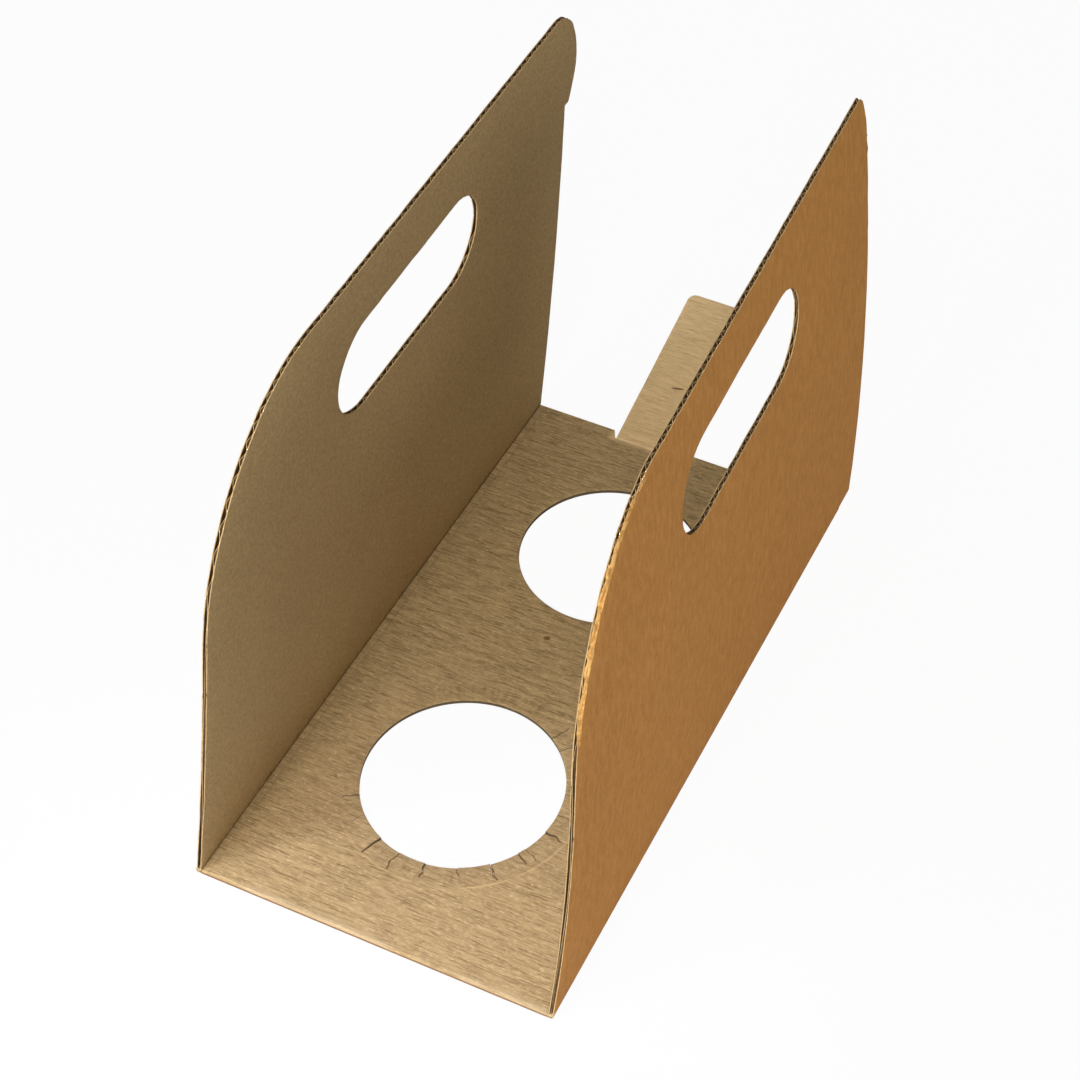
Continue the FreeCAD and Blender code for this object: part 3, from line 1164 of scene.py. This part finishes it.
def cut_fibres(f):
    """Pale fluff of the cut edges. On the base, a dark line at mid-thickness is painted for the
    wavy paper and the shade in its flutes, and painted shade darkens the cut edges round the holes
    and slits and along the front edge.
    """
    base = tuple(paper().cut)
    speckle = f.speckle()
    fluff = f.grain(f.stretched(700, 700, 700), 3.0, 0.7)
    colour = f.layered(base, base, [
        (fluff.between(0.58, 0.35) * 0.6, 0.55, 0.47, 0.38),
        (speckle.between(0.55, 0.7) * 0.5, 1.2, 1.2, 1.25),
    ])
    forward = 0.0 - f.y
    low = f.z.between(1.9 * MM, 1.72 * MM)
    # Painted shade: a dark line at mid-thickness of the base's cut edges, for the wavy paper and
    # the shade in its flutes.
    core = (f.z - board().thickness / 2).within(0.6 * MM).between(0.0, 0.35) * low
    # Painted shade: the base's cut edges inside its outline, round the holes and slits, are
    # darkened nearly to black.
    inside = f.x.size().between(48 * MM, 44 * MM) * f.y.between(100 * MM, 96 * MM)
    rim = low * inside * forward.between(108 * MM, 104 * MM)
    # Painted shade: the base's upright front edge is darkened to a deep brown.
    pressed = low * forward.between(108 * MM, 110 * MM) * f.x.size().between(57 * MM, 56 * MM)
    colour = f.blend(core * 0.75, colour, (0.10, 0.065, 0.035))
    colour = f.blend(rim * 0.8, colour, (0.085, 0.07, 0.052))
    colour = f.blend(pressed * 0.9, colour, warm(tuple(paper().outside), 0.40, 0.45, 0.7))
    return f.done(colour, 0.92, fluff + speckle * 0.5, 0.15 * MM)


def wavy_core(f):
    # Painted shade: this tint is darkened for the shade in the flutes.
    base = tuple(paper().core)
    speckle = f.speckle()
    colour = f.layered(base, base, [(speckle.between(0.6, 0.35) * 0.6, 0.6, 0.55, 0.5)])
    return f.done(colour, 0.95, speckle, 0.1 * MM)


def torn_kraft_and_highlight(f):
    # The bright tint is partly torn fibres and partly a painted highlight of the rolled edge.
    base = tuple(paper().torn)
    fluff = f.grain(f.stretched(650, 650, 500), 3.0, 0.7)
    colour = f.layered(base, base, [
        (fluff.between(0.55, 0.4) * 0.7, 0.55, 0.45, 0.33),
        (fluff.between(0.58, 0.7) * 0.6, 1.15, 1.3, 1.6),
    ])
    return f.done(colour, 0.9, fluff, 0.3 * MM)


# Each material's name and maker, in the order of the slots
FINISHES = (
    ("kraft_inside", inside_kraft), ("kraft_outside", outside_kraft),
    ("cut_fibres", cut_fibres), ("wavy_core", wavy_core), ("torn_kraft_and_highlight", torn_kraft_and_highlight),
)


# Stage

MIDDLE = (0, 0, 0.06)
WHITE = (1.0, 1.0, 1.0)
POOL = (1.0, 1.03, 1.28)

# Each lamp's place, aim, size, power, colour and spread in degrees
LAMPS = {
    "front_lamp": ((0.25, -1.5, 1.2), MIDDLE, 0.9, 30.0, (1.0, 0.98, 0.94), 180),
    "front_left_lamp": ((-0.9, -1.3, 0.9), MIDDLE, 0.6, 7.5, (1.0, 1.0, 1.1), 180),
    "right_lamp": ((1.6, 0, 0.15), MIDDLE, 1.4, 8.5, WHITE, 180),
    "left_lamp": ((-1.6, 0, 0.15), MIDDLE, 1.4, 8.0, WHITE, 180),
    "high_front_lamp": ((0.1, -0.5, 1.7), (0, -0.2, 0), 0.25, 0.080, POOL, 9),
    "near_front_lamp": ((-0.5, -0.9, 1.3), (-0.02, -0.19, 0), 0.25, 0.068, POOL, 9),
}

CAMERA_PLACE = (0.2110, -0.4116, 0.5589)
CAMERA_DIRECTION = (-0.2464, 0.6543, -0.7149)
CAMERA_ROLL = math.radians(3.965)
CAMERA_LENS = 75.0
CAMERA_SHIFT = (-0.1669, -0.0434)


def lamp(name, spot, aim, size, power, colour, spread):
    light = bpy.data.lights.new(name, "AREA")
    light.size = size
    light.energy = power
    light.color = colour
    light.spread = math.radians(spread)
    holder = add_object(name, light)
    holder.location = spot
    holder.rotation_mode = "QUATERNION"
    holder.rotation_quaternion = (Vector(aim) - Vector(spot)).to_track_quat("-Z", "Y")


def white_to_the_eye(tree, plain, strength):
    """Shader that the camera, gloss and glass see as white, for a share of strength."""
    rays = tree.nodes.new("ShaderNodeLightPath")
    seen = Value(tree, rays.outputs["Is Camera Ray"])
    gloss = Value(tree, rays.outputs["Is Glossy Ray"])
    glass = Value(tree, rays.outputs["Is Transmission Ray"])
    share = (seen + gloss + glass).clipped() * strength
    glow = tree.nodes.new("ShaderNodeBackground" if plain.bl_idname == "ShaderNodeBackground"
                          else "ShaderNodeEmission")
    glow.inputs["Color"].default_value = (1, 1, 1, 1)
    glow.inputs["Strength"].default_value = 1.0
    mix = tree.nodes.new("ShaderNodeMixShader")
    tree.links.new(share.socket, mix.inputs[0])
    tree.links.new(plain.outputs[0], mix.inputs[1])
    tree.links.new(glow.outputs[0], mix.inputs[2])
    return mix.outputs[0]


def pale_floor():
    bm = bmesh.new()
    bmesh.ops.create_grid(bm, x_segments=1, y_segments=1, size=6.0)
    bmesh.ops.translate(bm, verts=bm.verts, vec=(0, 0, -0.05 * MM))
    mesh = bpy.data.meshes.new("floor")
    bm.to_mesh(mesh)
    bm.free()
    floor = add_object("floor", mesh)
    material = bpy.data.materials.new("pale_floor")
    tree = bare_tree(material)
    plain = tree.nodes.new("ShaderNodeBsdfDiffuse")
    plain.inputs["Color"].default_value = (0.75, 0.75, 0.75, 1)
    out = tree.nodes.new("ShaderNodeOutputMaterial")
    tree.links.new(white_to_the_eye(tree, plain, 0.95), out.inputs[0])
    mesh.materials.append(material)


def studio_world():
    world = bpy.data.worlds.new("studio")
    bpy.context.scene.world = world
    tree = bare_tree(world)
    sky = tree.nodes.new("ShaderNodeBackground")
    sky.inputs["Color"].default_value = (1.0, 0.99, 0.97, 1)
    sky.inputs["Strength"].default_value = 0.14
    out = tree.nodes.new("ShaderNodeOutputWorld")
    tree.links.new(white_to_the_eye(tree, sky, 1.0), out.inputs[0])


def stage_camera():
    camera = bpy.data.cameras.new("camera")
    camera.sensor_width = 36.0
    camera.sensor_fit = "HORIZONTAL"
    camera.lens = CAMERA_LENS
    camera.shift_x, camera.shift_y = CAMERA_SHIFT
    camera.clip_start = 0.05
    camera.clip_end = 50.0
    holder = add_object("camera", camera)
    forward = Vector(CAMERA_DIRECTION).normalized()
    level = forward.cross(Vector((0, 0, 1))).normalized()
    upward = level.cross(forward)
    right = level * math.cos(CAMERA_ROLL) + upward * math.sin(CAMERA_ROLL)
    over = upward * math.cos(CAMERA_ROLL) - level * math.sin(CAMERA_ROLL)
    holder.rotation_mode = "QUATERNION"
    holder.rotation_quaternion = Matrix((right, over, -forward)).transposed().to_quaternion()
    holder.location = CAMERA_PLACE
    bpy.context.scene.camera = holder


# Operators

def show_piece(piece):
    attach(piece, "root")
    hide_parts("folded_sheet")


class CARRIER_OT_walls(bpy.types.Operator):
    """Add the two side walls, each of two flat papers and a wavy one"""
    bl_idname = "carrier.walls"
    bl_label = "Side walls"

    def execute(self, context):
        for side, name in ((LEFT, "left_wall"), (RIGHT, "right_wall")):
            gap_at = nearness(closed_rim(side))
            bm = wall_papers(side, gap_at)
            gather(bm, wall_core(side, gap_at))
            if side == RIGHT:
                gather(bm, torn_strip())
            show_piece(piece_from(bm, name))
        return {"FINISHED"}


class CARRIER_OT_base(bpy.types.Operator):
    """Add the base with its two cup holes and the petals round the front one"""
    bl_idname = "carrier.base"
    bl_label = "Base"

    def execute(self, context):
        show_piece(piece_from(base_board(), "base"))
        return {"FINISHED"}


class CARRIER_OT_tongue(bpy.types.Operator):
    """Add the narrow tongue at the rear"""
    bl_idname = "carrier.tongue"
    bl_label = "Tongue"

    def execute(self, context):
        show_piece(piece_from(tongue_board(), "tongue"))
        return {"FINISHED"}


class CARRIER_OT_stage(bpy.types.Operator):
    """Add the pale floor, the soft lamps and the camera"""
    bl_idname = "carrier.stage"
    bl_label = "Floor, lamps and camera"

    def execute(self, context):
        pale_floor()
        studio_world()
        for name, settings in LAMPS.items():
            lamp(name, *settings)
        stage_camera()
        bpy.context.scene.view_settings.view_transform = "Standard"
        return {"FINISHED"}


class CARRIER_PT_panel(bpy.types.Panel):
    """Buttons and settings of the carrier"""
    bl_label = "Cup carrier"
    bl_idname = "CARRIER_PT_panel"
    bl_space_type = "VIEW_3D"
    bl_region_type = "UI"
    bl_category = "Carrier"

    def draw(self, context):
        layout = self.layout
        for operator in OPERATORS:
            layout.operator(operator.bl_idname)
        scene = context.scene
        for group in (scene.carrier_board, scene.carrier_sizes, scene.carrier_paper):
            column = layout.column(align=True)
            for name in group.__annotations__:
                column.prop(group, name)


SETTINGS = (BoardSettings, CarrierSettings, PaperSettings)
OPERATORS = (CARRIER_OT_base, CARRIER_OT_walls, CARRIER_OT_tongue, CARRIER_OT_stage)


def register():
    for cls in SETTINGS + OPERATORS + (CARRIER_PT_panel,):
        bpy.utils.register_class(cls)
    bpy.types.Scene.carrier_board = PointerProperty(type=BoardSettings)
    bpy.types.Scene.carrier_sizes = PointerProperty(type=CarrierSettings)
    bpy.types.Scene.carrier_paper = PointerProperty(type=PaperSettings)


def unregister():
    del bpy.types.Scene.carrier_paper
    del bpy.types.Scene.carrier_sizes
    del bpy.types.Scene.carrier_board
    for cls in reversed(SETTINGS + OPERATORS + (CARRIER_PT_panel,)):
        bpy.utils.unregister_class(cls)


def main():
    register()
    bpy.ops.carrier.base()
    bpy.ops.carrier.walls()
    bpy.ops.carrier.tongue()
    bpy.ops.carrier.stage()


if __name__ == "__main__":
    main()
